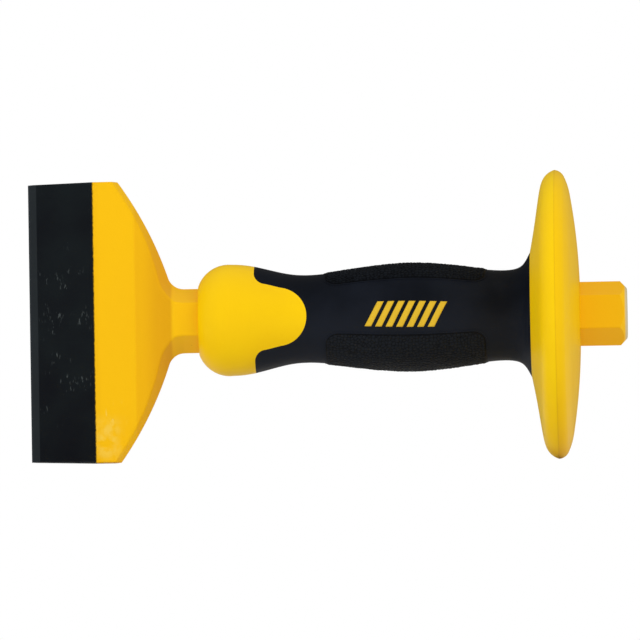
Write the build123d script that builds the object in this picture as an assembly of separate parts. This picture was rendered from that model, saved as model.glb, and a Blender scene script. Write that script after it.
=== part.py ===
"""Masonry bolster chisel with a two-colour handle and a round hand guard.

Frame, in millimetres: +X runs along the tool from the cutting edge to the struck end, +Z is
across the blade's width and +Y is through its thickness. The origin is the middle of the
cutting edge. One STEP file is written for each piece of the tool.
"""

import os
from math import cos, radians

from build123d import *

# ---------------------------------------------------------------- driving dimensions
TOOL_LENGTH = 216.4

# Steel forging: hexagon bar spread into a wide blade.
HEX_FLATS = 20.4
HEX_EDGE_RADIUS = 0.9
EDGE_HALF_WIDTH = 50.3
BLADE_HALF_WIDTH = 50.95
BLADE_FULL_WIDTH_AT = 23.3
SHOULDER_AT = 31.6
WING_MID = (43.2, 33.4)
NECK_ROOT = (50.4, 15.9)
NECK_FILLET_END = 56.0
SHOULDER_FLARE = 2.1
EDGE_LAND = 0.35
BEVEL_LENGTH = 3.0
BEVEL_HALF_THICKNESS = 2.0
SCOOP_AT = 38.1
SCOOP_HALF_THICKNESS = 3.6
SCOOP_MID = (46.2, 6.0)
SCOOP_END = 52.4
SCOOP_END_RADIUS = 1.2
BLADE_EDGE_RADIUS = 0.5
STRUCK_FACE_RADIUS = 9.0
STRUCK_CHAMFER_LENGTH = 3.0
STRUCK_EDGE_RADIUS = 1.6
STRUCK_SHOULDER = (0.6, -0.3)
STRUCK_SHOULDER_RADII = (0.4, 0.8)

# Handle core: hard plastic sleeve with a bulb in front and two tongues.
BORE_CLEARANCE = 0.05
CORE_RADIUS = 13.8
COLLAR_FRONT = 61.3
COLLAR_MOUTH_RADIUS = 12.6
COLLAR_SHOULDER = (64.8, 17.5)
COLLAR_CROWN = (73.4, 20.15)
COLLAR_FALL = (82.0, 19.2)
COLLAR_BACK = 81.7
TONGUE_ROOT_HALF_WIDTH = 15.6
TONGUE_NOTCH = (82.9, 13.2)
TONGUE_SIDE = (85.8, 11.9)
TONGUE_CORNER = (98.0, 7.0)
TONGUE_TIP = 100.6
TONGUE_TIP_RADIUS = 10.6
TONGUE_ARC_LEAD = 1.3

# Grip: soft rubber moulded over the core, with two raised gripping panels.
WAIST = (95.6, 16.15)
BELLY_RISE = (113.0, 16.95)
BELLY = (139.5, 19.3)
BELLY_FALL = (160.5, 17.35)
SECOND_WAIST = (170.3, 16.35)
FLARE_START = (177.6, 17.3)
FLARE_SLOPE = (0.5, 1)
PANEL_START = 106.8
PANEL_END = 165.8
PANEL_LOW_ANGLE = 41.0
PANEL_HIGH_ANGLE = 158.5
PANEL_HEIGHT = 0.2
PANEL_CORNER_RADIUS = 5.0

# Guard: a hollow lens made of a front and a rear shell, welded at the crest.
GUARD_FACE_AT = 181.5
GUARD_FLANGE_RADIUS = 22.6
GUARD_FRONT_SLOPE = (0.2, 1)
GUARD_FRONT_LINE = [(183.5, 33.6), (185.1, 43.7), (187.9, 50.6)]
GUARD_FRONT_INSIDE = [(187.7, 43.5), (186.0, 33.6)]
GUARD_CREST_AT = 190.9
GUARD_CREST_SLOPE = (0.97, 0.24)
GUARD_RADIUS = 52.3
GUARD_REAR_SLOPE = (1, -0.1)
GUARD_REAR_TIP = (194.3, 49.9)
GUARD_REAR_SHOULDER = (196.25, 43.7)
GUARD_REAR_INSIDE = [(195.4, 33.6), (193.6, 43.5)]
GUARD_BACK_AT = 199.3
GUARD_BACK_RADIUS = 13.0
GUARD_WALL = 2.6
GUARD_RIM_WALL = 3.1
GUARD_HUB_RADIUS = 16.4
RIB_COUNT = 6
RIB_THICKNESS = 1.6
WELD_RING_RADIUS = 42.0
WELD_RING_WALL = 2.0
WELD_RING_CLEARANCE = 0.1
OUTER_RING_DEPTH = 4.1
INNER_RING_FRONT = 2.4
INNER_RING_BACK = 4.2
RIB_FRONT_STEP = 3.0
RIB_BACK_GAP = 0.5
INSIDE_BACK_RADIUS = 19.8

# ---------------------------------------------------------------- worked-out sizes
HEX_CORNER = HEX_FLATS / 2 / cos(radians(30))
HEX_HALF = HEX_FLATS / 2
DRAFT = 30.0
CORE_END = GUARD_BACK_AT - GUARD_WALL
SIDEWAYS = 200.0
MARGIN = 1.0


def hex_bar(start: float, end: float, flats: float) -> Solid:
    """Hexagon bar along X with two of its flats facing along Y."""
    plane = Plane(origin=(start, 0, 0), x_dir=(0, 1, 0), z_dir=(1, 0, 0))
    outline = plane * RegularPolygon(flats / 2, 6, major_radius=False, rotation=30)
    return extrude(outline, end - start)


def turned(profile: Face | Sketch) -> Part:
    """Solid of revolution about the tool's axis, from a profile in the XZ plane."""
    return revolve(profile, Axis.X)


def in_side_plane(edges: list) -> Sketch:
    """Face in the XZ plane from edges drawn with x along the tool and y as the radius."""
    return Plane.XZ * make_face(edges)


# ---------------------------------------------------------------- steel forging
def drafted_plan() -> Part:
    """Plan outline of neck and wings, drawn in so that its sides carry on the bar's facets."""
    flare_tip = (SHOULDER_AT - SHOULDER_FLARE, BLADE_HALF_WIDTH + 2 * SHOULDER_FLARE)
    front = -HEX_HALF
    back = TOOL_LENGTH + HEX_HALF
    upper = [
        Line((back, HEX_CORNER), (NECK_FILLET_END, HEX_CORNER)),
        TangentArc((NECK_FILLET_END, HEX_CORNER), NECK_ROOT, tangent=(-1, 0)),
        ThreePointArc(NECK_ROOT, WING_MID, flare_tip),
        Line(flare_tip, (front, flare_tip[1])),
    ]
    lower = [mirror(edge, Plane.XZ) for edge in upper]
    ends = [
        Line((front, flare_tip[1]), (front, -flare_tip[1])),
        Line((back, HEX_CORNER), (back, -HEX_CORNER)),
    ]
    outline = Plane.XZ * make_face(upper + lower + ends)
    half = extrude(outline, HEX_HALF, taper=DRAFT)
    return half + mirror(half, Plane.XZ)


def side_profile() -> Part:
    """Thickness of the forging along its length: bevel, blade, scoop and bar."""
    top = [
        Line((0, EDGE_LAND), (BEVEL_LENGTH, BEVEL_HALF_THICKNESS)),
        Line((BEVEL_LENGTH, BEVEL_HALF_THICKNESS), (SCOOP_AT, SCOOP_HALF_THICKNESS)),
        ThreePointArc((SCOOP_AT, SCOOP_HALF_THICKNESS), SCOOP_MID, (SCOOP_END, HEX_HALF)),
        Line((SCOOP_END, HEX_HALF), (TOOL_LENGTH, HEX_HALF)),
    ]
    bottom = [mirror(edge, Plane.XZ) for edge in top]
    ends = [
        Line((0, EDGE_LAND), (0, -EDGE_LAND)),
        Line((TOOL_LENGTH, HEX_HALF), (TOOL_LENGTH, -HEX_HALF)),
    ]
    return extrude(make_face(top + bottom + ends), SIDEWAYS / 2, both=True)


def blade_sides() -> Part:
    """Block that trims the blade to its width, slightly narrower at the cutting edge."""
    upper = [
        (0, EDGE_HALF_WIDTH),
        (BLADE_FULL_WIDTH_AT, BLADE_HALF_WIDTH),
        (TOOL_LENGTH, BLADE_HALF_WIDTH),
    ]
    outline = Polygon(*upper, *[(x, -z) for x, z in reversed(upper)], align=None)
    return extrude(Plane.XZ * outline, SIDEWAYS / 2, both=True)


def struck_end_envelope() -> Part:
    """Turned envelope that brings the struck end down to a flat round face with soft corners."""
    clear = HEX_CORNER + MARGIN
    wide = BLADE_HALF_WIDTH + MARGIN
    chamfer = TOOL_LENGTH - STRUCK_CHAMFER_LENGTH
    step_down = chamfer - HEX_FLATS / 2
    end_line = FilletPolyline(
        (step_down, clear),
        (chamfer, clear),
        (chamfer + STRUCK_SHOULDER[0], HEX_CORNER + STRUCK_SHOULDER[1]),
        (TOOL_LENGTH, STRUCK_FACE_RADIUS),
        (TOOL_LENGTH, 0),
        radius=[*STRUCK_SHOULDER_RADII, STRUCK_EDGE_RADIUS],
    )
    closing = Polyline((TOOL_LENGTH, 0), (-MARGIN, 0), (-MARGIN, wide), (step_down, wide),
                       (step_down, clear))
    return turned(in_side_plane([end_line, closing]))


def edges_near(piece: Part, kind: GeomType, shortest: float, test) -> list:
    """Edges of one kind, longer than a length, whose centre passes a test."""
    found = piece.edges().filter_by(kind)
    return [edge for edge in found if edge.length > shortest and test(edge.center())]


def chisel_forging() -> Part:
    """One-piece steel forging: blade, wings, neck, bar and struck end."""
    body = side_profile() & drafted_plan() & blade_sides() & struck_end_envelope()

    scoop_end = edges_near(body, GeomType.LINE, 5, lambda c: abs(c.X - SCOOP_END) < 0.1)
    body = fillet(scoop_end, SCOOP_END_RADIUS)

    bar = edges_near(body, GeomType.LINE, TOOL_LENGTH / 2, lambda c: c.X > SCOOP_END)
    body = fillet(bar, HEX_EDGE_RADIUS)

    sides = edges_near(
        body, GeomType.LINE, 1.5 * BEVEL_LENGTH,
        lambda c: c.X < SHOULDER_AT and abs(c.Z) > EDGE_HALF_WIDTH - 1 and abs(c.Y) > 1,
    )
    return fillet(sides, BLADE_EDGE_RADIUS)


# ---------------------------------------------------------------- handle
def handle_outline() -> list:
    """Outer line of bulb and grip, from the bulb's mouth to the grip's flange."""
    mouth = (COLLAR_FRONT, COLLAR_MOUTH_RADIUS)
    nose = ThreePointArc(mouth, COLLAR_SHOULDER, COLLAR_CROWN)
    flange = (GUARD_FACE_AT, GUARD_FLANGE_RADIUS)
    line = Spline(
        COLLAR_CROWN, COLLAR_FALL, WAIST, BELLY_RISE, BELLY, BELLY_FALL, SECOND_WAIST,
        FLARE_START, flange,
        tangents=[(1, 0), FLARE_SLOPE],
    )
    return [nose, line]


def handle_body() -> Part:
    """Whole handle, bulb and grip together, as one turned shape."""
    outer = handle_outline()
    closing = [
        Polyline((GUARD_FACE_AT, GUARD_FLANGE_RADIUS), (GUARD_FACE_AT, 0), (COLLAR_FRONT, 0),
                 (COLLAR_FRONT, COLLAR_MOUTH_RADIUS)),
    ]
    return turned(in_side_plane(outer + closing))


def yellow_zone() -> Part:
    """Part of the handle that stays hard plastic: the bulb and its two long tongues."""
    centre = TONGUE_TIP - TONGUE_TIP_RADIUS
    lead_height = (TONGUE_TIP_RADIUS**2 - TONGUE_ARC_LEAD**2) ** 0.5
    start = (centre + TONGUE_ARC_LEAD, lead_height)
    root = (COLLAR_BACK, TONGUE_ROOT_HALF_WIDTH)
    reach = GUARD_FLANGE_RADIUS + MARGIN
    front = COLLAR_FRONT - MARGIN
    upper = [
        Line((COLLAR_BACK, reach), root),
        ThreePointArc(root, TONGUE_NOTCH, TONGUE_SIDE),
        Line(TONGUE_SIDE, start),
        ThreePointArc(start, TONGUE_CORNER, (TONGUE_TIP, 0)),
    ]
    lower = [mirror(edge, Plane.XZ) for edge in upper]
    ends = [Polyline((COLLAR_BACK, reach), (front, reach), (front, -reach), (COLLAR_BACK, -reach))]
    return extrude(Plane.XZ * make_face(upper + lower + ends), reach, both=True)


def raised_section() -> Sketch:
    """Section of the grip between the core and a line a little outside its surface."""
    outer = [edge.moved(Location((0, PANEL_HEIGHT, 0))) for edge in handle_outline()[1:]]
    start = outer[0] @ 0
    end = outer[0] @ 1
    closing = Polyline(end, (end.X, CORE_RADIUS), (start.X, CORE_RADIUS), start)
    return in_side_plane(outer + [closing])


def core_cylinder() -> Part:
    """Round inner tube of the core, which the rubber and the guard sit on."""
    plane = Plane(origin=(COLLAR_SHOULDER[0], 0, 0), z_dir=(1, 0, 0))
    return extrude(plane * Circle(CORE_RADIUS), CORE_END - COLLAR_SHOULDER[0])


def bar_bore() -> Part:
    """Hexagon hole that the steel bar is pressed into."""
    return hex_bar(COLLAR_FRONT - MARGIN, TOOL_LENGTH, HEX_FLATS + 2 * BORE_CLEARANCE)


def core_sleeve(body: Part) -> Part:
    """Hard plastic core: bulb, tongues and tube in one moulding."""
    return (body & yellow_zone()) + core_cylinder() - bar_bore()


def panel_window() -> Part:
    """Sector of a thick tube that bounds one gripping panel, with rounded corners."""
    middle = (PANEL_START + PANEL_END) / 2
    depth = CORE_RADIUS / 2
    centre = (WAIST[1] + BELLY[1]) / 2
    section = Plane.XZ * Pos(middle, centre) * Rectangle(PANEL_END - PANEL_START, 2 * depth)
    sector = revolve(section, Axis.X, PANEL_HIGH_ANGLE - PANEL_LOW_ANGLE)
    radial = [edge for edge in sector.edges() if edge.geom_type == GeomType.LINE and
              abs((edge @ 0).X - (edge @ 1).X) < 1]
    rounded = fillet(radial, PANEL_CORNER_RADIUS)
    return Rot(90 - PANEL_HIGH_ANGLE, 0, 0) * rounded


def grip_overmould(body: Part) -> Part:
    """Soft rubber grip with its two raised panels, half a turn apart."""
    rubber = body - yellow_zone() - core_cylinder()
    raised = panel_window() & turned(raised_section())
    return rubber + raised + Rot(180, 0, 0) * raised


# ---------------------------------------------------------------- guard
def tube(start: float, end: float, inner: float, outer: float) -> Part:
    """Plain tube about the tool's axis."""
    plane = Plane(origin=(start, 0, 0), z_dir=(1, 0, 0))
    return extrude(plane * (Circle(outer) - Circle(inner)), end - start)


def guard_half(outer: list, inner: list, hub: tuple, ring: tuple) -> Part:
    """One shell of the guard: a domed wall, a hub on the core and a ring for the weld."""
    wall = in_side_plane([*outer, *inner])
    return turned(wall) + tube(*hub, CORE_RADIUS, GUARD_HUB_RADIUS) + tube(*ring)


def guard_rib() -> Part:
    """Radial rib in the front shell, from its hub to just inside its weld ring."""
    root = GUARD_HUB_RADIUS - MARGIN
    tip = WELD_RING_RADIUS - WELD_RING_WALL - MARGIN
    back = GUARD_CREST_AT - RIB_BACK_GAP
    front = GUARD_FACE_AT + GUARD_WALL / 2
    outline = Polygon((front, root), (front, GUARD_FLANGE_RADIUS), (front + RIB_FRONT_STEP, tip),
                      (back, tip), (back, root), align=None)
    return extrude(Plane.XZ * outline, RIB_THICKNESS / 2, both=True)


def guard_front_shell() -> Part:
    """Front shell of the guard, with radial ribs between its hub and its weld ring."""
    crest = (GUARD_CREST_AT, GUARD_RADIUS)
    seat = (GUARD_FACE_AT, GUARD_FLANGE_RADIUS)
    inner_rim = (GUARD_CREST_AT, GUARD_RADIUS - GUARD_RIM_WALL)
    inner_seat = (GUARD_FACE_AT + GUARD_WALL, GUARD_FLANGE_RADIUS)
    outer = [
        Line((GUARD_FACE_AT, CORE_RADIUS), seat),
        Spline(seat, *GUARD_FRONT_LINE, crest, tangents=[GUARD_FRONT_SLOPE, GUARD_CREST_SLOPE]),
        Line(crest, inner_rim),
    ]
    inner = [
        Spline(inner_rim, *GUARD_FRONT_INSIDE, inner_seat),
        Polyline(inner_seat, (inner_seat[0], CORE_RADIUS), (GUARD_FACE_AT, CORE_RADIUS)),
    ]
    hub = (inner_seat[0] - MARGIN, GUARD_CREST_AT - WELD_RING_CLEARANCE)
    ring_inner = WELD_RING_RADIUS + WELD_RING_CLEARANCE
    ring = (GUARD_CREST_AT - OUTER_RING_DEPTH, GUARD_CREST_AT, ring_inner,
            ring_inner + WELD_RING_WALL)
    shell = guard_half(outer, inner, hub, ring)
    ribs = [Rot(turn * 360 / RIB_COUNT, 0, 0) * guard_rib() for turn in range(RIB_COUNT)]
    return shell + ribs


def guard_rear_shell() -> Part:
    """Rear shell of the guard, which closes over the core's end and lets the bar through."""
    crest = (GUARD_CREST_AT, GUARD_RADIUS)
    inner_rim = (GUARD_CREST_AT, GUARD_RADIUS - GUARD_RIM_WALL)
    inner_back = (CORE_END, INSIDE_BACK_RADIUS)
    back = (GUARD_BACK_AT, GUARD_BACK_RADIUS)
    tip = TangentArc(crest, GUARD_REAR_TIP, tangent=GUARD_REAR_SLOPE)
    shoulder = TangentArc(GUARD_REAR_TIP, GUARD_REAR_SHOULDER, tangent=tip % 1)
    outer = [
        Polyline(inner_rim, crest),
        tip,
        shoulder,
        TangentArc(GUARD_REAR_SHOULDER, back, tangent=shoulder % 1),
        Polyline(back, (GUARD_BACK_AT, 0), (CORE_END, 0)),
    ]
    inner = [
        Line((CORE_END, 0), inner_back),
        Spline(inner_back, *GUARD_REAR_INSIDE, inner_rim),
    ]
    hub = (GUARD_CREST_AT + WELD_RING_CLEARANCE, CORE_END + MARGIN)
    ring = (GUARD_CREST_AT - INNER_RING_FRONT, GUARD_CREST_AT + INNER_RING_BACK,
            WELD_RING_RADIUS - WELD_RING_WALL, WELD_RING_RADIUS)
    return guard_half(outer, inner, hub, ring) - bar_bore()


if __name__ == "__main__":
    os.makedirs("parts", exist_ok=True)
    handle = handle_body()
    pieces = {
        "chisel_forging": chisel_forging(),
        "core_sleeve": core_sleeve(handle),
        "grip_overmould": grip_overmould(handle),
        "guard_front_shell": guard_front_shell(),
        "guard_rear_shell": guard_rear_shell(),
    }
    for name, piece in pieces.items():
        piece.label = name
        export_step(piece, f"parts/{name}.step")
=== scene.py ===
"""Finishes and fine surface pieces of a masonry bolster with a round hand guard.

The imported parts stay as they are. This script dresses them, lays the pebbled gripping skins and
the printed stripes on the rubber, and sets up a plain studio. Sizes are in metres, in the frame
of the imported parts: +X runs from the cutting edge to the struck end, +Z across the blade's width
and +Y through its thickness. Angles round the handle start at -Y and turn towards +Z.
"""

import logging
from dataclasses import dataclass, field
from enum import Enum
from math import cos, radians, sin

import bpy
import numpy as np
from mathutils import Matrix, Vector
from mathutils.bvhtree import BVHTree


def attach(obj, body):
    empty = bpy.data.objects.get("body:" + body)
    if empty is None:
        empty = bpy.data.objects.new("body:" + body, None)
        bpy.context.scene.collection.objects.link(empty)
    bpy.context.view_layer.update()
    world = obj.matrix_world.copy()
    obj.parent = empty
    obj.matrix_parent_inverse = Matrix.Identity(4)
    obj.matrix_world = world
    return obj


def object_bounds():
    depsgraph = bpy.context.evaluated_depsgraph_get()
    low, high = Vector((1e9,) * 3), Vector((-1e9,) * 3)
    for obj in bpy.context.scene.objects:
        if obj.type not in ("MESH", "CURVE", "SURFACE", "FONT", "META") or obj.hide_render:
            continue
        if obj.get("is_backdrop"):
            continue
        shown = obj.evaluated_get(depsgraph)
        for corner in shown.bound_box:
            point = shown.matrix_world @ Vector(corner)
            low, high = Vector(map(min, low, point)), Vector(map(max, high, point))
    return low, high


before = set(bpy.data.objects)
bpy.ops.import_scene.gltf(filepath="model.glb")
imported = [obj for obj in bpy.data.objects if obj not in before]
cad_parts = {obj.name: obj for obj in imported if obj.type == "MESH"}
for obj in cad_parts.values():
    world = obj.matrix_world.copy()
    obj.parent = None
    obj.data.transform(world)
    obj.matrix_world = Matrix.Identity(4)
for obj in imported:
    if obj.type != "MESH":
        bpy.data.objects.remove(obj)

LOG = logging.getLogger("bolster")
ROOT_BODY = "root"
PEBBLE_RISE = "pebble_rise"
MILLIMETRE = 0.001
SATIN_SPECULAR = 0.15


class Slot(str, Enum):
    """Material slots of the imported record."""

    STEEL = "forging_steel"
    PLASTIC = "yellow_plastic"
    RUBBER = "black_rubber"
    GUARD = "yellow_guard"


class Node(str, Enum):
    """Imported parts, by their node names."""

    FORGING = "chisel_forging"
    CORE = "core_sleeve"
    GRIP = "grip_overmould"
    GUARD_FRONT = "guard_front_shell"
    GUARD_REAR = "guard_rear_shell"


# ---------------------------------------------------------------- colours
@dataclass(frozen=True)
class Colour:
    """Display colour with channels from 0 to 255."""

    red: float
    green: float
    blue: float

    def linear(self) -> tuple[float, float, float, float]:
        """Scene-linear value with full alpha."""
        channels = [self.red / 255, self.green / 255, self.blue / 255]
        lit = [c / 12.92 if c <= 0.04045 else ((c + 0.055) / 1.055) ** 2.4 for c in channels]
        return (lit[0], lit[1], lit[2], 1.0)


# ---------------------------------------------------------------- node building
Value = float | tuple | bpy.types.NodeSocket


class Board:
    """Places and joins the shader nodes of one tree."""

    def __init__(self, tree: bpy.types.NodeTree) -> None:
        """Starts on an existing tree."""
        self.tree = tree

    def node(self, kind: str, **settings: object) -> bpy.types.Node:
        """Adds a node.

        Args:
            kind: Node type name.
            settings: Properties to set on it.

        Returns:
            The new node.
        """
        made = self.tree.nodes.new(kind)
        for name, value in settings.items():
            setattr(made, name, value)
        return made

    def feed(self, socket: bpy.types.NodeSocket, value: Value) -> None:
        """Links a socket to another one, or sets its own value."""
        if isinstance(value, bpy.types.NodeSocket):
            self.tree.links.new(value, socket)
        else:
            socket.default_value = value

    def maths(self, operation: str, first: Value,
              second: Value = 0.0) -> bpy.types.NodeSocket:
        """Does one sum.

        Args:
            operation: Name of the operation.
            first: First value.
            second: Second value.

        Returns:
            The result.
        """
        made = self.node("ShaderNodeMath", operation=operation)
        self.feed(made.inputs[0], first)
        self.feed(made.inputs[1], second)
        return made.outputs[0]

    def remap(self, value: Value, low: Value, high: Value, start: Value = 0.0,
              end: Value = 1.0) -> bpy.types.NodeSocket:
        """Eases a value from one range to another.

        Args:
            value: Value to read.
            low: Value that gives the start.
            high: Value that gives the end.
            start: Result at low.
            end: Result at high.

        Returns:
            The eased value.
        """
        made = self.node("ShaderNodeMapRange", interpolation_type="SMOOTHSTEP")
        for socket, given in zip(made.inputs, (value, low, high, start, end)):
            self.feed(socket, given)
        return made.outputs[0]

    def blend(self, share: Value, first: Value, second: Value) -> bpy.types.NodeSocket:
        """Mixes two colours.

        Args:
            share: How much of the second one shows, from 0 to 1.
            first: First colour.
            second: Second colour.

        Returns:
            The mixed colour.
        """
        made = self.node("ShaderNodeMix", data_type="RGBA")
        self.feed(made.inputs[0], share)
        self.feed(made.inputs[6], first)
        self.feed(made.inputs[7], second)
        return made.outputs[2]

    def noise(self, vector: Value, scale: Value, detail: float = 2.0) -> bpy.types.NodeSocket:
        """Soft noise from 0 to 1.

        Args:
            vector: Where it is read.
            scale: Number of features per metre.
            detail: Number of finer layers.

        Returns:
            The noise value.
        """
        made = self.node("ShaderNodeTexNoise")
        self.feed(made.inputs["Vector"], vector)
        self.feed(made.inputs["Scale"], scale)
        made.inputs["Detail"].default_value = detail
        return made.outputs[0]

    def stretched(self, vector: Value, scale: tuple[float, float, float],
                  turn: tuple[float, float, float]) -> bpy.types.NodeSocket:
        """Turns and stretches the place where a texture is read.

        Args:
            vector: Place to change.
            scale: Factor along each axis.
            turn: Rotation about each axis, in degrees.

        Returns:
            The changed place.
        """
        made = self.node("ShaderNodeMapping")
        self.feed(made.inputs["Vector"], vector)
        made.inputs["Rotation"].default_value = [radians(a) for a in turn]
        made.inputs["Scale"].default_value = scale
        return made.outputs[0]

    def group(self, effect: bpy.types.NodeTree, **values: Value) -> bpy.types.Node:
        """Places a shared effect.

        Args:
            effect: The effect's node group.
            values: Its inputs, with underscores for spaces.

        Returns:
            The group node.
        """
        made = self.node("ShaderNodeGroup", node_tree=effect)
        for name, value in values.items():
            self.feed(made.inputs[name.replace("_", " ")], value)
        return made


def effect_tree(name: str, inputs: dict[str, float | None],
                output: str) -> tuple[Board, dict[str, bpy.types.NodeSocket],
                                      bpy.types.NodeSocket]:
    """Starts a shared effect with one value output.

    Args:
        name: Name of the node group.
        inputs: Each input's name and value, or None where it takes a place in space.
        output: Name of the output.

    Returns:
        The board, the input sockets by name and the socket that takes the result.
    """
    tree = bpy.data.node_groups.new(name, "ShaderNodeTree")
    for label, value in inputs.items():
        kind = "NodeSocketVector" if value is None else "NodeSocketFloat"
        socket = tree.interface.new_socket(label, in_out="INPUT", socket_type=kind)
        if value is not None:
            socket.default_value = value
    tree.interface.new_socket(output, in_out="OUTPUT", socket_type="NodeSocketFloat")
    board = Board(tree)
    entry = board.node("NodeGroupInput")
    leave = board.node("NodeGroupOutput")
    return board, {label: entry.outputs[label] for label in inputs}, leave.inputs[output]


class Effects:
    """Shared surface effects, each made once."""

    def __init__(self) -> None:
        """Builds every effect."""
        self.mottle = self._mottle()
        self.grain = self._grain()
        self.scuffs = self._scuffs()
        self.band = self._band()
        self.specks = self._specks()

    def _mottle(self) -> bpy.types.NodeTree:
        """Broad soft patches, for uneven colour and gloss."""
        board, given, result = effect_tree(
            "soft_patches", {"Place": None, "Patches per metre": 60.0}, "Patches")
        broad = board.noise(given["Place"], given["Patches per metre"], 3.0)
        board.feed(result, board.remap(broad, 0.3, 0.7))
        return board.tree

    def _grain(self) -> bpy.types.NodeTree:
        """Fine moulded or sprayed grain, as a height."""
        board, given, result = effect_tree(
            "fine_grain", {"Place": None, "Grains per metre": 1500.0, "Waviness": 0.4}, "Height")
        fine = board.noise(given["Place"], given["Grains per metre"], 2.0)
        broad_scale = board.maths("MULTIPLY", given["Grains per metre"], 0.12)
        broad = board.noise(given["Place"], broad_scale, 1.0)
        waves = board.maths("MULTIPLY", broad, given["Waviness"])
        board.feed(result, board.maths("ADD", fine, waves))
        return board.tree

    def _scuffs(self) -> bpy.types.NodeTree:
        """Short slanting rubs and scratches that gather in patches."""
        board, given, result = effect_tree(
            "slanting_scuffs", {"Place": None, "Marks per metre": 700.0, "Amount": 0.5}, "Scuffs")
        slanted = board.stretched(given["Place"], (1.0, 1.0, 0.3), (0, -52, 0))
        marks = board.noise(slanted, given["Marks per metre"], 5.0)
        patch_scale = board.maths("MULTIPLY", given["Marks per metre"], 0.1)
        patches = board.noise(given["Place"], patch_scale, 1.0)
        gathered = board.remap(patches, 0.53, 0.66)
        level = board.remap(given["Amount"], 0.0, 1.0, 0.74, 0.52)
        top = board.maths("ADD", level, 0.06)
        crisp = board.remap(marks, level, top)
        board.feed(result, board.maths("MULTIPLY", crisp, gathered))
        return board.tree

    def _band(self) -> bpy.types.NodeTree:
        """Soft line where a distance is near a given one, broken up by noise."""
        board, given, result = effect_tree(
            "broken_line",
            {"Place": None, "Distance": 0.0, "At": 0.0, "Half width": 0.0005, "Wander": 0.0},
            "Line")
        wander = board.maths("SUBTRACT", board.noise(given["Place"], 900.0, 3.0), 0.5)
        offset = board.maths("MULTIPLY", wander, given["Wander"])
        apart = board.maths("SUBTRACT", given["Distance"], given["At"])
        moved = board.maths("ABSOLUTE", board.maths("ADD", apart, offset))
        board.feed(result, board.remap(moved, given["Half width"], 0.0))
        return board.tree

    def _specks(self) -> bpy.types.NodeTree:
        """Scattered small round specks, for pits and dust."""
        board, given, result = effect_tree(
            "round_specks", {"Place": None, "Specks per metre": 300.0, "Size": 0.12}, "Specks")
        cells = board.node("ShaderNodeTexVoronoi", feature="F1")
        board.feed(cells.inputs["Vector"], given["Place"])
        board.feed(cells.inputs["Scale"], given["Specks per metre"])
        chosen = board.remap(board.noise(given["Place"], 90.0, 1.0), 0.5, 0.6)
        dots = board.remap(cells.outputs["Distance"], given["Size"], 0.0)
        board.feed(result, board.maths("MULTIPLY", dots, chosen))
        return board.tree


# ---------------------------------------------------------------- finishes
class Surface:
    """A material in the making: its board, its shader and the places it reads."""

    def __init__(self, name: str) -> None:
        """Starts a material with one Principled shader.

        Args:
            name: Name of the material.
        """
        self.material = bpy.data.materials.new(name)
        self.material.use_nodes = True
        tree = self.material.node_tree
        tree.nodes.clear()
        self.board = Board(tree)
        self.shader = self.board.node("ShaderNodeBsdfPrincipled")
        output = self.board.node("ShaderNodeOutputMaterial")
        tree.links.new(self.shader.outputs[0], output.inputs["Surface"])
        self.place = self.board.node("ShaderNodeTexCoord").outputs["Object"]
        split = self.board.node("ShaderNodeSeparateXYZ")
        self.board.feed(split.inputs[0], self.place)
        self.along, _, self.across = split.outputs

    def set(self, **values: Value) -> None:
        """Feeds the shader's sockets, named with underscores for spaces."""
        for name, value in values.items():
            self.board.feed(self.shader.inputs[name.replace("_", " ")], value)

    def raise_by(self, height: Value) -> None:
        """Gives the surface a fine relief.

        Args:
            height: Height in millimetres.
        """
        bump = self.board.node("ShaderNodeBump")
        bump.inputs["Strength"].default_value = 1.0
        bump.inputs["Distance"].default_value = MILLIMETRE
        self.board.feed(bump.inputs["Height"], height)
        self.board.feed(self.shader.inputs["Normal"], bump.outputs[0])

    def window(self, x_range: tuple[float, float], z_range: tuple[float, float],
               soft: float) -> bpy.types.NodeSocket:
        """Soft-edged rectangle in the plan of the blade.

        Args:
            x_range: Lowest and highest X.
            z_range: Lowest and highest Z.
            soft: Width of the soft border.

        Returns:
            A mask that is 1 inside.
        """
        mask: Value = 1.0
        for value, (low, high) in ((self.along, x_range), (self.across, z_range)):
            rise = self.board.remap(value, low - soft, low + soft)
            fall = self.board.remap(value, high + soft, high - soft)
            mask = self.board.maths("MULTIPLY", mask, self.board.maths("MULTIPLY", rise, fall))
        return mask


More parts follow.
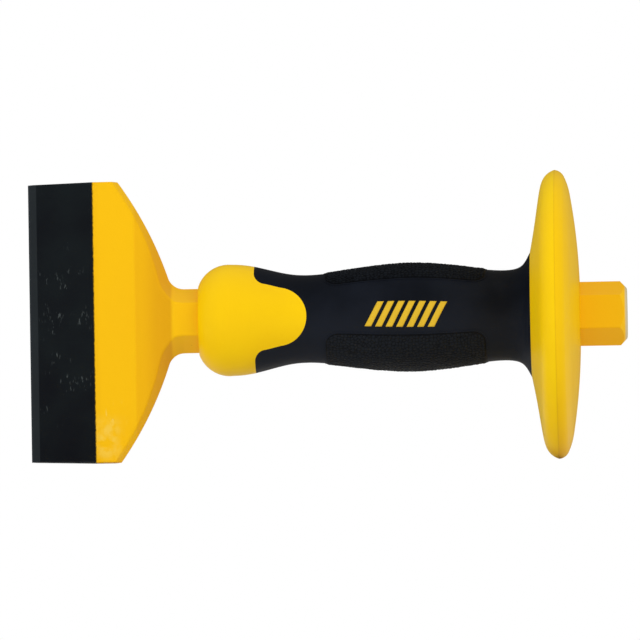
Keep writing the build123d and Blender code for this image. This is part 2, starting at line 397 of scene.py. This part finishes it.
@dataclass(frozen=True)
class CoatedSteel:
    """Forged steel: dark coat at the cutting end, thick yellow paint on the rest."""

    yellow: Colour = Colour(251, 194, 3)
    yellow_uneven: Colour = Colour(248, 189, 3)
    yellow_worn: Colour = Colour(250, 212, 88)
    # Deeper yellow painted as shade in the scoop.
    yellow_thin: Colour = Colour(240, 180, 4)
    yellow_scoop_shade: Colour = Colour(233, 170, 4)
    shadow_line: Colour = Colour(52, 42, 8)
    dark: Colour = Colour(12, 15, 21)
    dark_patch: Colour = Colour(18, 25, 28)
    dark_edge: Colour = Colour(48, 54, 57)
    scuff: Colour = Colour(98, 106, 106)
    # Whitish beige painted at the struck end as reflection.
    struck: Colour = Colour(200, 196, 168)
    pit: Colour = Colour(170, 120, 20)
    paint_line: float = 0.0233
    paint_step: float = 0.00022
    bevel_at: float = 0.003
    scoop_at: float = 0.0381
    scoop_end: float = 0.0516
    blade_half_width: float = 0.05095
    length: float = 0.2164
    rubbed_zone: tuple[tuple[float, float], ...] = ((0.0236, 0.0315), (-0.0495, -0.036))
    chip_zone: tuple[tuple[float, float], ...] = ((0.0245, 0.0335), (-0.042, -0.018))
    scuff_zone: tuple[tuple[float, float], ...] = ((0.004, 0.021), (-0.036, 0.03))

    def make(self, effects: Effects) -> bpy.types.Material:
        """Builds the material.

        Args:
            effects: The shared effects.

        Returns:
            The finished material.
        """
        made = Surface("coated_steel")
        board = made.board
        patches = board.group(effects.mottle, Place=made.place, Patches_per_metre=45.0).outputs[0]
        orange_peel = board.group(effects.grain, Place=made.place, Grains_per_metre=1100.0,
                                  Waviness=0.8).outputs[0]

        ragged = board.maths("SUBTRACT", board.noise(made.place, 1300.0, 4.0), 0.5)
        edge_place = board.maths("ADD", made.along, board.maths("MULTIPLY", ragged, 0.0009))
        painted = board.remap(edge_place, self.paint_line - 0.00008, self.paint_line + 0.00008)

        yellow = board.blend(board.maths("MULTIPLY", patches, 0.35),
                             self.yellow.linear(), self.yellow_uneven.linear())
        thin = board.remap(made.along, self.paint_line + 0.003, self.paint_line)
        yellow = board.blend(board.maths("MULTIPLY", thin, 0.5), yellow,
                             self.yellow_thin.linear())
        # Painted shade in the scoop where the blade rises into the neck: half strength at its
        # start, full strength further in.
        scoop_shade = board.maths(
            "MULTIPLY", board.remap(made.along, self.scoop_at - 0.0004, self.scoop_at + 0.0008),
            board.remap(made.along, self.scoop_end + 0.0006, self.scoop_end - 0.0006))
        scoop_shade_depth = board.maths("ADD", 0.5, board.maths("MULTIPLY", 0.5, board.remap(
            made.along, self.scoop_at + 0.002, self.scoop_at + 0.009)))
        yellow = board.blend(board.maths("MULTIPLY", scoop_shade, scoop_shade_depth), yellow,
                             self.yellow_scoop_shade.linear())
        rubbed = made.window(*self.rubbed_zone, 0.0035)
        rubbed = board.maths("MULTIPLY", rubbed,
                             board.remap(board.noise(made.place, 260.0, 3.0), 0.35, 0.62))
        yellow = board.blend(board.maths("MULTIPLY", rubbed, 0.6), yellow,
                             self.yellow_worn.linear())
        chips = board.group(effects.scuffs, Place=made.place, Marks_per_metre=520.0,
                            Amount=0.75).outputs[0]
        chips = board.maths("MULTIPLY", chips, made.window(*self.chip_zone, 0.003))
        yellow = board.blend(board.maths("MULTIPLY", chips, 0.75), yellow,
                             self.yellow_worn.linear())
        pits = board.group(effects.specks, Place=made.place, Specks_per_metre=170.0,
                           Size=0.05).outputs[0]
        yellow = board.blend(board.maths("MULTIPLY", pits, 0.7), yellow,
                             self.pit.linear())

        dark = board.blend(patches, self.dark.linear(), self.dark_patch.linear())
        scuffs = board.group(effects.scuffs, Place=made.place, Marks_per_metre=1500.0,
                             Amount=0.66).outputs[0]
        scuffs = board.maths("MULTIPLY", scuffs, made.window(*self.scuff_zone, 0.004))
        dark = board.blend(board.maths("MULTIPLY", scuffs, 0.42), dark, self.scuff.linear())
        bevel = board.remap(made.along, self.bevel_at + 0.0001, self.bevel_at - 0.0001)
        dark = board.blend(board.maths("MULTIPLY", bevel, 0.45), dark, self.dark_edge.linear())
        edge_line = board.group(effects.band, Place=made.place, Distance=made.along,
                                At=0.0, Half_width=0.0009, Wander=0.0007).outputs[0]
        side = board.maths("ABSOLUTE", made.across)
        side_line = board.group(effects.band, Place=made.place, Distance=side,
                                At=self.blade_half_width - 0.0002, Half_width=0.0007,
                                Wander=0.0009).outputs[0]
        worn = board.maths("MAXIMUM", edge_line, board.maths("MULTIPLY", side_line, 0.6))
        dark = board.blend(board.maths("MULTIPLY", worn, 0.6), dark, self.dark_edge.linear())

        colour = board.blend(painted, dark, yellow)
        # Painted shadow: a thin dark line along the paint's raised edge.
        paint_lip_shadow = board.group(effects.band, Place=made.place, Distance=made.along,
                          At=self.paint_line, Half_width=0.0004, Wander=0.0006).outputs[0]
        colour = board.blend(board.maths("MULTIPLY", paint_lip_shadow, 0.8), colour,
                             self.shadow_line.linear())
        # Painted reflection: the last millimetre of the struck end is paled to whitish beige, for
        # the white surroundings mirrored in its chamfer.
        struck_end_reflection = board.remap(made.along, self.length - 0.0011, self.length - 0.0004)
        colour = board.blend(board.maths("MULTIPLY", struck_end_reflection, 0.8), colour,
                             self.struck.linear())
        made.set(Base_Color=colour, IOR=1.5, Specular_IOR_Level=SATIN_SPECULAR)
        gloss_dark = board.remap(patches, 0.0, 1.0, 0.42, 0.55)
        gloss_dark = board.maths("ADD", gloss_dark, board.maths("MULTIPLY", scuffs, 0.15))
        gloss_yellow = board.remap(patches, 0.0, 1.0, 0.36, 0.44)
        mix = board.node("ShaderNodeMix", data_type="FLOAT")
        for socket, given in zip((mix.inputs[0], mix.inputs[2], mix.inputs[3]),
                                 (painted, gloss_dark, gloss_yellow)):
            board.feed(socket, given)
        made.set(Roughness=mix.outputs[0])

        step = board.maths("MULTIPLY", painted, self.paint_step / MILLIMETRE)
        relief = board.maths("ADD", step, board.maths("MULTIPLY", orange_peel, 0.022))
        marks = board.maths("ADD", scuffs, board.maths("ADD", chips, pits))
        relief = board.maths("SUBTRACT", relief, board.maths("MULTIPLY", marks, 0.06))
        made.raise_by(relief)
        return made.material


@dataclass(frozen=True)
class MouldedPlastic:
    """Hard satin plastic with a fine mould grain."""

    name: str = "moulded_plastic"
    body: Colour = Colour(254, 208, 1)
    shade: Colour = Colour(251, 203, 2)
    dust: Colour = Colour(190, 140, 10)
    seam_shade: Colour = Colour(222, 165, 6)
    roughness: float = 0.4
    grains_per_metre: float = 2600.0
    seam_at: float | None = None

    def make(self, effects: Effects) -> bpy.types.Material:
        """Builds the material.

        Args:
            effects: The shared effects.

        Returns:
            The finished material.
        """
        made = Surface(self.name)
        board = made.board
        patches = board.group(effects.mottle, Place=made.place, Patches_per_metre=38.0).outputs[0]
        grain = board.group(effects.grain, Place=made.place,
                            Grains_per_metre=self.grains_per_metre, Waviness=0.5).outputs[0]
        colour = board.blend(patches, self.body.linear(), self.shade.linear())
        dust = board.group(effects.specks, Place=made.place, Specks_per_metre=420.0,
                           Size=0.06).outputs[0]
        colour = board.blend(board.maths("MULTIPLY", dust, 0.35), colour, self.dust.linear())
        height = board.maths("MULTIPLY", grain, 0.012)
        if self.seam_at is not None:
            seam = board.group(effects.band, Place=made.place, Distance=made.along,
                               At=self.seam_at, Half_width=0.00022, Wander=0.0001).outputs[0]
            height = board.maths("SUBTRACT", height, board.maths("MULTIPLY", seam, 0.1))
            colour = board.blend(board.maths("MULTIPLY", seam, 0.35), colour,
                                 self.seam_shade.linear())
        made.set(Base_Color=colour, IOR=1.46, Specular_IOR_Level=SATIN_SPECULAR,
                 Roughness=board.remap(patches, 0.0, 1.0, self.roughness - 0.04,
                                       self.roughness + 0.05))
        made.raise_by(height)
        return made.material


@dataclass(frozen=True)
class Rubber:
    """Matt black rubber."""

    name: str = "black_rubber"
    body: Colour = Colour(15, 19, 27)
    bloom: Colour = Colour(24, 29, 40)
    dust: Colour = Colour(70, 76, 84)
    # Groove colour is painted shade between the pebbles.
    groove: Colour = Colour(3, 4, 7)
    roughness: float = 0.55
    grain_height: float = 0.018
    pebbled: bool = False

    def make(self, effects: Effects) -> bpy.types.Material:
        """Builds the material.

        Args:
            effects: The shared effects.

        Returns:
            The finished material.
        """
        made = Surface(self.name)
        board = made.board
        patches = board.group(effects.mottle, Place=made.place, Patches_per_metre=55.0).outputs[0]
        grain = board.group(effects.grain, Place=made.place, Grains_per_metre=2200.0,
                            Waviness=0.3).outputs[0]
        colour = board.blend(board.maths("MULTIPLY", patches, 0.7), self.body.linear(),
                             self.bloom.linear())
        dust = board.group(effects.specks, Place=made.place, Specks_per_metre=900.0,
                           Size=0.16).outputs[0]
        colour = board.blend(board.maths("MULTIPLY", dust, 0.1), colour, self.dust.linear())
        if self.pebbled:
            # Painted shade: the colour darkens towards the groove colour where the pebbled skin
            # lies low.
            rise = board.node("ShaderNodeAttribute", attribute_name=PEBBLE_RISE).outputs["Fac"]
            colour = board.blend(board.remap(rise, 0.1, 0.75), self.groove.linear(), colour)
        made.set(Base_Color=colour, IOR=1.5, Specular_IOR_Level=SATIN_SPECULAR,
                 Roughness=board.remap(patches, 0.0, 1.0, self.roughness - 0.05,
                                       self.roughness + 0.08))
        made.raise_by(board.maths("MULTIPLY", grain, self.grain_height))
        return made.material


@dataclass(frozen=True)
class PrintInk:
    """Yellow ink printed on rubber."""

    ink: Colour = Colour(233, 190, 38)
    worn: Colour = Colour(196, 156, 32)
    grain_height: float = 0.015

    def make(self, effects: Effects) -> bpy.types.Material:
        """Builds the material.

        Args:
            effects: The shared effects.

        Returns:
            The finished material.
        """
        made = Surface("print_ink")
        board = made.board
        uneven = board.group(effects.mottle, Place=made.place, Patches_per_metre=160.0).outputs[0]
        grain = board.group(effects.grain, Place=made.place, Grains_per_metre=2200.0,
                            Waviness=0.3).outputs[0]
        made.set(Base_Color=board.blend(board.maths("MULTIPLY", uneven, 0.2),
                                        self.ink.linear(), self.worn.linear()),
                 Roughness=board.remap(uneven, 0.0, 1.0, 0.45, 0.6), Specular_IOR_Level=0.35)
        made.raise_by(board.maths("MULTIPLY", grain, self.grain_height))
        return made.material


def dress(node: Node, material: bpy.types.Material) -> None:
    """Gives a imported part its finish.

    Args:
        node: The part.
        material: Its finish.
    """
    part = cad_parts[node.value]
    part.data.materials.clear()
    part.data.materials.append(material)
    LOG.info("dressed %s with %s", node.value, material.name)


# ---------------------------------------------------------------- new surface pieces
class SkinProbe:
    """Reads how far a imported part's skin lies from the tool's axis."""

    REACH = 0.08

    def __init__(self, node: Node) -> None:
        """Indexes the part's triangles.

        Args:
            node: The part to read.
        """
        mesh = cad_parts[node.value].data
        corners = [v.co.copy() for v in mesh.vertices]
        self.tree = BVHTree.FromPolygons(corners, [tuple(p.vertices) for p in mesh.polygons])

    def radius(self, along: float, angle: float) -> float:
        """Distance from the axis to the outer skin.

        Args:
            along: Place along the tool.
            angle: Angle round the handle, in radians.

        Returns:
            The radius, in metres.
        """
        outward = Vector((0.0, -cos(angle), sin(angle)))
        start = Vector((along, 0.0, 0.0)) + outward * self.REACH
        hit = self.tree.ray_cast(start, -outward)
        return self.REACH - hit[3]


def on_handle(along: np.ndarray, angle: np.ndarray, radius: np.ndarray) -> np.ndarray:
    """Points from places along and round the handle.

    Args:
        along: Places along the tool.
        angle: Angles round the handle, in radians.
        radius: Distances from the axis.

    Returns:
        One row of X, Y and Z for each point.
    """
    return np.stack([along, -radius * np.cos(angle), radius * np.sin(angle)], axis=-1)


def add_piece(name: str, points: np.ndarray, faces: list[tuple[int, ...]],
              material: bpy.types.Material) -> bpy.types.Object:
    """Adds a smooth-shaded mesh that rides on the tool.

    Args:
        name: Name of the piece.
        points: Its corners.
        faces: Its faces, by corner number.
        material: Its finish.

    Returns:
        The new object.
    """
    mesh = bpy.data.meshes.new(name)
    mesh.from_pydata(points.tolist(), [], faces)
    mesh.validate()
    mesh.shade_smooth()
    mesh.materials.append(material)
    piece = bpy.data.objects.new(name, mesh)
    bpy.context.scene.collection.objects.link(piece)
    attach(piece, ROOT_BODY)
    LOG.info("built %s with %d faces", name, len(faces))
    return piece


@dataclass
class Pebbles:
    """Close-packed rounded pebbles as a height over a flat plan."""

    pitch: float = 0.00125
    height: float = 0.00032
    groove: float = 0.5
    seed: int = 11
    cells: int = 128

    def __post_init__(self) -> None:
        """Places one centre in each cell of a square net."""
        rng = np.random.default_rng(self.seed)
        self.centres = rng.uniform(0.08, 0.92, (self.cells, self.cells, 2))
        self.heights = rng.uniform(0.62, 1.0, (self.cells, self.cells))

    def at(self, u: np.ndarray, v: np.ndarray) -> np.ndarray:
        """Height of the pebbles.

        Args:
            u: Places along the first direction, in metres.
            v: Places along the second direction, in metres.

        Returns:
            Heights in metres, from 0.
        """
        u, v = u / self.pitch, v / self.pitch
        near = np.full(u.shape, 9.0)
        second = np.full(u.shape, 9.0)
        tall = np.zeros(u.shape)
        for du in (-1, 0, 1):
            for dv in (-1, 0, 1):
                cu = np.floor(u).astype(int) + du
                cv = np.floor(v).astype(int) + dv
                centre = self.centres[cu % self.cells, cv % self.cells]
                gap = np.hypot(cu + centre[..., 0] - u, cv + centre[..., 1] - v)
                closer = gap < near
                second = np.where(closer, near, np.minimum(second, gap))
                tall = np.where(closer, self.heights[cu % self.cells, cv % self.cells], tall)
                near = np.minimum(near, gap)
        rise = np.clip((second - near) / self.groove, 0.0, 1.0)
        return self.height * tall * (1.0 - (1.0 - rise) ** 2)


@dataclass
class GripPanel:
    """Pebbled skin over one raised panel of the grip, as a thin closed solid."""

    name: str
    low_angle: float
    high_angle: float
    start: float = 0.1068
    end: float = 0.1658
    corner: float = 0.005
    inset: float = 0.0005
    step: float = 0.00021
    under_share: int = 8
    depth: float = 0.0003
    border: float = 0.0007
    clearance: float = 0.00002
    pebbles: Pebbles = field(default_factory=Pebbles)

    def plan(self, probe: SkinProbe) -> tuple[np.ndarray, np.ndarray, np.ndarray, np.ndarray]:
        """Net of places on the panel, with rounded corners.

        Args:
            probe: Reads the grip's skin.

        Returns:
            Places along the tool, angles, skin radii and distances from the border.
        """
        x_low, x_high = self.start + self.inset, self.end - self.inset
        middle = radians((self.low_angle + self.high_angle) / 2)
        rows = int((x_high - x_low) / self.step)
        x = np.linspace(x_low, x_high, rows)
        radius = np.array([probe.radius(float(a), middle) for a in x])
        typical = float(radius.mean())
        ends = np.minimum(x - x_low, x_high - x)
        bite = np.clip(self.corner - ends, 0.0, self.corner)
        shrink = (self.corner - np.sqrt(self.corner**2 - bite**2) + self.inset) / typical
        low = radians(self.low_angle) + shrink
        high = radians(self.high_angle) - shrink
        columns = int(typical * radians(self.high_angle - self.low_angle) / self.step)
        columns -= columns % self.under_share
        share = np.linspace(0.0, 1.0, columns + 1)
        angle = low[:, None] + (high - low)[:, None] * share[None, :]
        along = np.repeat(x[:, None], columns + 1, axis=1)
        radii = np.repeat(radius[:, None], columns + 1, axis=1)
        sideways = np.minimum(angle - low[:, None], high[:, None] - angle) * typical
        return along, angle, radii, np.minimum(sideways, ends[:, None])

    def build(self, probe: SkinProbe, material: bpy.types.Material) -> bpy.types.Object:
        """Builds the skin.

        Args:
            probe: Reads the grip's skin.
            material: Its finish.

        Returns:
            The new object.
        """
        along, angle, radii, inside = self.plan(probe)
        ease = np.clip(inside / self.border, 0.0, 1.0)
        lift = self.pebbles.at(along, angle * float(radii.mean())) * ease
        top = on_handle(along, angle, radii + self.clearance + lift)
        keep = np.arange(0, along.shape[1], self.under_share)
        under = on_handle(along[:, keep], angle[:, keep], radii[:, keep] - self.depth)
        rows, columns = along.shape
        fewer = len(keep)
        base = rows * columns
        faces: list[tuple[int, ...]] = []
        for i in range(rows - 1):
            a, b = i * columns, (i + 1) * columns
            faces += [(a + j, a + j + 1, b + j + 1, b + j) for j in range(columns - 1)]
            c, d = base + i * fewer, base + (i + 1) * fewer
            faces += [(c + j + 1, c + j, d + j, d + j + 1) for j in range(fewer - 1)]
            faces.append((a, b, d, c))
            last, under_last = columns - 1, fewer - 1
            faces.append((b + last, a + last, c + under_last, d + under_last))
        for row, forward in ((0, True), (rows - 1, False)):
            for j in range(fewer - 1):
                upper = [row * columns + j * self.under_share + k
                         for k in range(self.under_share + 1)]
                lower = [base + row * fewer + j + 1, base + row * fewer + j]
                ring = tuple(upper[::-1] + lower[::-1]) if forward else tuple(upper + lower)
                faces.append(ring)
        points = np.concatenate([top.reshape(-1, 3), under.reshape(-1, 3)])
        skin = add_piece(self.name, points, faces, material)
        rise = skin.data.attributes.new(PEBBLE_RISE, "FLOAT", "POINT")
        share = np.zeros(len(points), np.float32)
        share[:base] = (lift / self.pebbles.height).ravel()
        rise.data.foreach_set("value", share)
        return skin


@dataclass
class PrintedBars:
    """Plain printed device on the grip's side: one band of tall slanting stripes."""

    start: float = 0.1216
    end: float = 0.1516
    stripe_angles: tuple[float, float] = (-14.7, 13.5)
    stripes: int = 7
    stripe_share: float = 0.62
    slant: float = 0.0048
    skew: float = 1.06
    lift: float = 0.00003
    thickness: float = 0.00008
    parts: int = 16

    def patch(self, probe: SkinProbe, corners: tuple[float, float, float, float],
              first: int) -> tuple[np.ndarray, list[tuple[int, ...]]]:
        """One thin closed patch that follows the rubber.

        Args:
            probe: Reads the grip's skin.
            corners: X at the lower start, lower end, upper end and upper start.
            first: Number of the patch's first corner in the whole mesh.

        Returns:
            The patch's points and faces.
        """
        across = max(2, int((corners[1] - corners[0]) / 0.0005)) + 1
        share = np.linspace(0.0, 1.0, across)
        rise = np.linspace(0.0, 1.0, self.parts + 1)
        low = corners[0] + (corners[1] - corners[0]) * share
        high = corners[3] + (corners[2] - corners[3]) * share
        x = low[None, :] + (high - low)[None, :] * rise[:, None]
        below, above = self.stripe_angles
        angle = np.radians(below + (above - below) * rise)[:, None]
        angle = np.repeat(angle, across, axis=1)
        middle = (self.start + self.end) / 2
        radius = np.array([[probe.radius(float(a), float(b)) for a, b in zip(ra, rb)]
                           for ra, rb in zip(x, angle)])
        angle = angle - (x - middle) * np.tan(radians(self.skew)) / radius
        top = on_handle(x, angle, radius + self.lift).reshape(-1, 3)
        under = on_handle(x, angle, radius + self.lift - self.thickness).reshape(-1, 3)
        count = len(top)
        faces: list[tuple[int, ...]] = []
        for i in range(self.parts):
            for j in range(across - 1):
                a = first + i * across + j
                quad = (a, a + 1, a + across + 1, a + across)
                faces.append(quad)
                faces.append(tuple(k + count for k in reversed(quad)))
        rim = list(range(across))
        rim += [i * across + across - 1 for i in range(1, self.parts + 1)]
        rim += [self.parts * across + j for j in range(across - 2, -1, -1)]
        rim += [i * across for i in range(self.parts - 1, 0, -1)]
        for here, there in zip(rim, rim[1:] + rim[:1]):
            a, b = first + here, first + there
            faces.append((b, a, a + count, b + count))
        return np.concatenate([top, under]), faces

    def build(self, probe: SkinProbe, material: bpy.types.Material) -> bpy.types.Object:
        """Builds the whole device as one piece.

        Args:
            probe: Reads the grip's skin.
            material: Its finish.

        Returns:
            The new object.
        """
        shapes: list[tuple[float, float, float, float]] = []
        pitch = (self.end - self.start - self.slant) / (self.stripes - 1 + self.stripe_share)
        width = pitch * self.stripe_share
        for k in range(self.stripes):
            x = self.start + k * pitch
            shapes.append((x, x + width, x + width + self.slant, x + self.slant))
        points: list[np.ndarray] = []
        faces: list[tuple[int, ...]] = []
        count = 0
        for corners in shapes:
            found, joined = self.patch(probe, corners, count)
            points.append(found)
            faces += joined
            count += len(found)
        return add_piece("grip_printed_bars", np.concatenate(points), faces, material)


# ---------------------------------------------------------------- sub-assemblies
@dataclass
class ForgedChisel:
    """One-piece steel blade, neck and bar."""

    finish: CoatedSteel = field(default_factory=CoatedSteel)

    def build(self, effects: Effects) -> None:
        """Dresses the forging."""
        dress(Node.FORGING, self.finish.make(effects))


@dataclass
class HandleCore:
    """Hard plastic bulb, tongues and inner tube."""

    finish: MouldedPlastic = field(default_factory=lambda: MouldedPlastic("handle_plastic"))

    def build(self, effects: Effects) -> None:
        """Dresses the core."""
        dress(Node.CORE, self.finish.make(effects))


@dataclass
class RubberGrip:
    """Rubber grip, its two pebbled panels and its printed stripes."""

    smooth: Rubber = field(default_factory=Rubber)
    pebbled: Rubber = field(default_factory=lambda: Rubber(
        "pebbled_rubber", Colour(16, 20, 26), Colour(25, 30, 37), pebbled=True))
    ink: PrintInk = field(default_factory=PrintInk)
    bars: PrintedBars = field(default_factory=PrintedBars)
    near_edge: float = 41.0
    far_edge: float = 158.5

    def build(self, effects: Effects) -> None:
        """Dresses the grip and builds what lies on it."""
        dress(Node.GRIP, self.smooth.make(effects))
        probe = SkinProbe(Node.GRIP)
        rough = self.pebbled.make(effects)
        GripPanel("upper_grip_panel", self.near_edge, self.far_edge).build(probe, rough)
        lower = GripPanel("lower_grip_panel", self.near_edge - 180, self.far_edge - 180,
                          pebbles=Pebbles(seed=23))
        lower.build(probe, rough)
        self.bars.build(probe, self.ink.make(effects))


@dataclass
class HandGuard:
    """Hollow lens-shaped guard made of two shells welded at the crest."""

    crest_at: float = 0.1909
    front: tuple[Colour, Colour] = (Colour(255, 211, 2), Colour(253, 206, 3))
    # The rear yellows are deeper than the front's: painted shade on the rear half.
    rear: tuple[Colour, Colour] = (Colour(251, 202, 4), Colour(248, 197, 5))

    def build(self, effects: Effects) -> None:
        """Dresses both shells, the rear one in a slightly deeper yellow that is painted shade on
        that half.
        """
        for node, name, (body, shade) in (
                (Node.GUARD_FRONT, "guard_plastic_front", self.front),
                (Node.GUARD_REAR, "guard_plastic_rear_shaded", self.rear)):
            finish = MouldedPlastic(name, body, shade, roughness=0.42,
                                    grains_per_metre=2200.0, seam_at=self.crest_at)
            dress(node, finish.make(effects))


# ---------------------------------------------------------------- studio
@dataclass(frozen=True)
class SoftBox:
    """Square soft light aimed at the middle of the tool."""

    name: str
    azimuth: float
    elevation: float
    distance: float
    size: float
    power: float

    def build(self, target: Vector) -> None:
        """Adds the light.

        Args:
            target: Where it points.
        """
        lamp = bpy.data.lights.new(self.name, "AREA")
        lamp.shape = "SQUARE"
        lamp.size = self.size
        lamp.energy = self.power
        holder = bpy.data.objects.new(self.name, lamp)
        away = direction(self.azimuth, self.elevation)
        holder.location = target + away * self.distance
        holder.rotation_euler = away.to_track_quat("Z", "Y").to_euler()
        holder.visible_camera = False
        holder.visible_glossy = False
        bpy.context.scene.collection.objects.link(holder)


def direction(azimuth: float, elevation: float) -> Vector:
    """Unit vector towards a place round the tool.

    Args:
        azimuth: Degrees from -Y towards +X.
        elevation: Degrees above level.

    Returns:
        The direction.
    """
    a, e = radians(azimuth), radians(elevation)
    return Vector((sin(a) * cos(e), -cos(a) * cos(e), sin(e)))


@dataclass
class Studio:
    """White surroundings, a pale floor, soft boxes and the camera."""

    target: tuple[float, float, float] = (0.10509, 0.0, -0.00045)
    yaw: float = 1.6
    pitch: float = -4.3
    roll: float = 0.94
    distance: float = 6.0
    field_width: float = 0.2317
    sensor: float = 36.0
    floor_half: float = 12.0
    floor_gap: float = 0.0001
    light_below: float = 0.5
    light_above: float = 0.76
    mirror_dim: float = 0.03
    mirror_bright: float = 0.2
    boxes: tuple[SoftBox, ...] = (
        SoftBox("key_box", 46.0, 18.0, 1.0, 0.5, 2.35),
        SoftBox("fill_box", -50.0, 5.0, 1.1, 0.5, 3.8),
    )

    def build(self) -> None:
        """Builds the whole studio."""
        target = Vector(self.target)
        for box in self.boxes:
            box.build(target)
        self.floor()
        self.surroundings()
        self.camera(target)
        bpy.context.scene.view_settings.view_transform = "Standard"
        LOG.info("studio ready with %d soft boxes", len(self.boxes))

    def floor(self) -> None:
        """Pale floor just under the tool, clear when seen from below."""
        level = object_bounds()[0].z - self.floor_gap
        half = self.floor_half
        mesh = bpy.data.meshes.new("studio_floor")
        corners = [(-half, -half, level), (half, -half, level), (half, half, level),
                   (-half, half, level)]
        mesh.from_pydata(corners, [], [(0, 1, 2, 3)])
        ground = bpy.data.objects.new("studio_floor", mesh)
        bpy.context.scene.collection.objects.link(ground)
        ground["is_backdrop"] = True
        made = Surface("floor_paper")
        board = made.board
        tone = board.noise(made.place, 6.0, 2.0)
        made.set(Base_Color=board.blend(tone, (0.83, 0.83, 0.83, 1.0), (0.85, 0.85, 0.85, 1.0)),
                 Roughness=0.8, Specular_IOR_Level=0.1)
        clear = board.node("ShaderNodeBsdfTransparent")
        facing = board.node("ShaderNodeNewGeometry").outputs["Backfacing"]
        mix = board.node("ShaderNodeMixShader")
        board.feed(mix.inputs[0], facing)
        board.feed(mix.inputs[1], made.shader.outputs[0])
        board.feed(mix.inputs[2], clear.outputs[0])
        output = next(n for n in board.tree.nodes if n.type == "OUTPUT_MATERIAL")
        board.feed(output.inputs["Surface"], mix.outputs[0])
        mesh.materials.append(made.material)

    def surroundings(self) -> None:
        """White room: plain white where it is seen, softer and brighter on the right as light."""
        world = bpy.data.worlds.new("white_room")
        bpy.context.scene.world = world
        world.use_nodes = True
        world.cycles.sampling_method = "NONE"
        world.node_tree.nodes.clear()
        board = Board(world.node_tree)
        split = board.node("ShaderNodeSeparateXYZ")
        board.feed(split.inputs[0], board.node("ShaderNodeTexCoord").outputs["Generated"])
        path = board.node("ShaderNodeLightPath")
        spread = board.remap(split.outputs[2], -1.0, 1.0, self.light_below, self.light_above)
        side = board.maths("ADD", board.maths("MULTIPLY", split.outputs[0], 0.8),
                           board.maths("MULTIPLY", split.outputs[1], 0.6))
        high = board.maths("MULTIPLY", board.maths("MAXIMUM", split.outputs[2], 0.0), 0.5)
        mirror = board.remap(board.maths("ADD", side, high), 0.0, 1.0, self.mirror_dim,
                             self.mirror_bright)
        tint = board.node("ShaderNodeMix", data_type="FLOAT")
        board.feed(tint.inputs[0], path.outputs["Is Glossy Ray"])
        board.feed(tint.inputs[2], spread)
        board.feed(tint.inputs[3], mirror)
        seen = board.node("ShaderNodeMix", data_type="FLOAT")
        board.feed(seen.inputs[0], path.outputs["Is Camera Ray"])
        board.feed(seen.inputs[2], tint.outputs[0])
        board.feed(seen.inputs[3], 1.0)
        light = board.node("ShaderNodeBackground")
        board.feed(light.inputs["Color"], (1.0, 1.0, 1.0, 1.0))
        board.feed(light.inputs["Strength"], seen.outputs[0])
        output = board.node("ShaderNodeOutputWorld")
        board.feed(output.inputs["Surface"], light.outputs[0])

    def camera(self, target: Vector) -> None:
        """Adds the camera, far off with a long lens.

        Args:
            target: Middle of the view.
        """
        data = bpy.data.cameras.new("camera")
        data.sensor_width = self.sensor
        data.lens = self.sensor * self.distance / self.field_width
        data.clip_end = 20.0
        holder = bpy.data.objects.new("camera", data)
        back = direction(self.yaw, self.pitch)
        level = Vector((0.0, 0.0, 1.0)).cross(back).normalized()
        upright = back.cross(level)
        tilt = radians(self.roll)
        up = upright * cos(tilt) + level * sin(tilt)
        side = up.cross(back)
        turn = Matrix((side, up, back)).transposed().to_4x4()
        holder.matrix_world = Matrix.Translation(target + back * self.distance) @ turn
        bpy.context.scene.collection.objects.link(holder)
        bpy.context.scene.camera = holder


def main() -> None:
    """Builds and dresses the tool, then the studio."""
    logging.basicConfig(level=logging.INFO, format="%(name)s: %(message)s")
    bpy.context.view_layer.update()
    effects = Effects()
    for part in (ForgedChisel(), HandleCore(), RubberGrip(), HandGuard()):
        part.build(effects)
    Studio().build()


if __name__ == "__main__":
    main()
